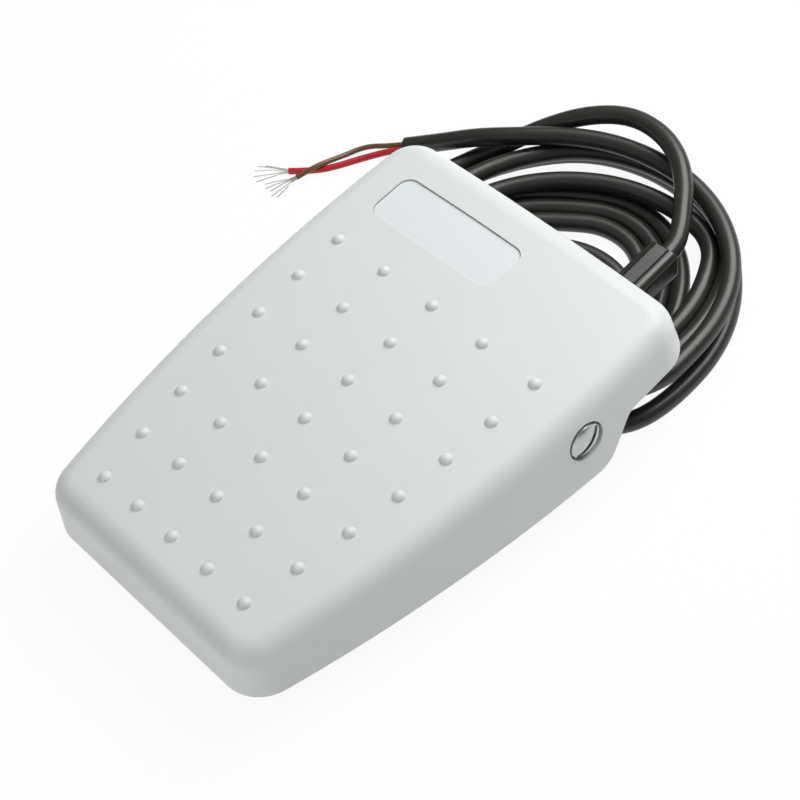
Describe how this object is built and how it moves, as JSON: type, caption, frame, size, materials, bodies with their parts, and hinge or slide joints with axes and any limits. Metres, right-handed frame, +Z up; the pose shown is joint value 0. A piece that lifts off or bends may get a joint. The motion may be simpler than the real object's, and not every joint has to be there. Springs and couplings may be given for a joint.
{
  "type": "foot switch",
  "caption": "Low rectangular foot switch with a pale pipped pedal on a hidden hinged base, and a thin black two-core cable that ends in bare wires.",
  "frame": {"origin": "on the floor, under the middle of the pedal's outline", "axes": "+X to the user's right, +Y to the rear where the cable leaves, +Z up"},
  "size_m": [0.1115, 0.1431, 0.0264],
  "materials": {
    "pedal_plastic": "satin moulded plastic, pale cool grey",
    "label_plate": "smooth plastic plate, pale blue grey",
    "base_plastic": "moulded plastic, mid grey",
    "foot_rubber": "black rubber",
    "screw_steel": "bright plated steel",
    "spring_steel": "spring steel",
    "bush_plastic": "natural acetal",
    "switch_plastic": "black moulded plastic",
    "plunger_plastic": "red acetal",
    "terminal_metal": "tinned brass",
    "relief_plastic": "satin black moulded plastic",
    "cable_sheath": "satin black sheath",
    "red_insulation": "crimson core insulation",
    "brown_insulation": "dark brown core insulation",
    "tinned_copper": "tinned copper strands"
  },
  "bodies": {
    "base": {"base_tray": "base_plastic", "front_left_foot": "foot_rubber", "front_right_foot": "foot_rubber", "rear_left_foot": "foot_rubber", "rear_right_foot": "foot_rubber", "hinge_screw_left": "screw_steel", "hinge_screw_right": "screw_steel", "return_spring": "spring_steel", "switch_case": "switch_plastic", "switch_cover": "switch_plastic", "lever_pin": "screw_steel", "switch_screws": "screw_steel", "terminal_common": "terminal_metal", "terminal_normally_open": "terminal_metal", "terminal_normally_closed": "terminal_metal", "strain_relief": "relief_plastic", "cable_clamp": "base_plastic", "clamp_screws": "screw_steel", "cable_inside": "cable_sheath", "red_core_inside": "red_insulation", "brown_core_inside": "brown_insulation", "cord_exit_run": "cable_sheath", "cord_coil": "cable_sheath", "cord_tail_run": "cable_sheath", "red_core_end": "red_insulation", "brown_core_end": "brown_insulation", "red_core_strands": "tinned_copper", "brown_core_strands": "tinned_copper"},
    "pedal": {"pedal_shell": "pedal_plastic", "label_panel": "label_plate", "hinge_bush_left": "bush_plastic", "hinge_bush_right": "bush_plastic"},
    "lever": {"switch_lever": "spring_steel"},
    "plunger": {"switch_plunger": "plunger_plastic"}
  },
  "joints": [
    {"name": "pedal_hinge", "type": "hinge", "parent": "base", "child": "pedal", "pos_m": [0, 0.02196, 0.01544], "axis": [1, 0, 0], "range_deg": [0, 3.6], "stiffness_Nm_per_rad": 2, "springref_deg": -8.59, "deforming": ["return_spring"]},
    {"name": "lever_hinge", "type": "hinge", "parent": "base", "child": "lever", "pos_m": [0, 0.0015, 0.0148], "axis": [1, 0, 0], "range_deg": [0, 9.3]},
    {"name": "plunger_slide", "type": "slide", "parent": "base", "child": "plunger", "axis": [0, 0, 1], "range_m": [-0.0009, 0]}
  ],
  "couplings": [
    {"joint": "lever_hinge", "follows": "pedal_hinge", "ratio": 2.565},
    {"joint": "plunger_slide", "follows": "pedal_hinge", "m_per_rad": -0.01283}
  ]
}
